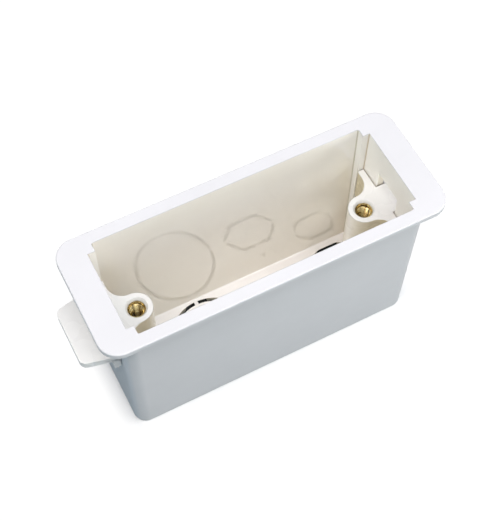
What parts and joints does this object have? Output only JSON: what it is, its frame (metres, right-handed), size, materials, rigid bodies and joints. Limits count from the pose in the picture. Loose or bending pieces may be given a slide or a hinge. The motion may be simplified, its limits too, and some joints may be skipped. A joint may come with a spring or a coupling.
{
  "type": "drywall back box",
  "caption": "Narrow white plasterboard back box with a flange, sliding clamp lugs in its end walls, threaded brass fixings and knock-outs in its base.",
  "frame": {"origin": "middle of the underside of the base, with the box standing on its base", "axes": "+Z out of the open front, X along the box through both fixings, Y across its narrow side"},
  "size_m": [0.094, 0.0316, 0.047],
  "materials": {
    "box_plastic": "moulded, semi-gloss",
    "lug_plastic": "moulded, semi-gloss",
    "brass": "turned, bright"
  },
  "bodies": {
    "box": {"box_body": "box_plastic"},
    "left_lug": {"left_clamp_lug": "lug_plastic", "left_brass_insert": "brass"},
    "right_lug": {"right_clamp_lug": "lug_plastic", "right_brass_insert": "brass"}
  },
  "joints": [
    {"name": "left_clamp_slide", "type": "slide", "parent": "box", "child": "left_lug", "axis": [0, 0, 1], "range_m": [-0.0077, 0.004]},
    {"name": "right_clamp_slide", "type": "slide", "parent": "box", "child": "right_lug", "axis": [0, 0, 1], "range_m": [-0.0065, 0.0052]}
  ]
}
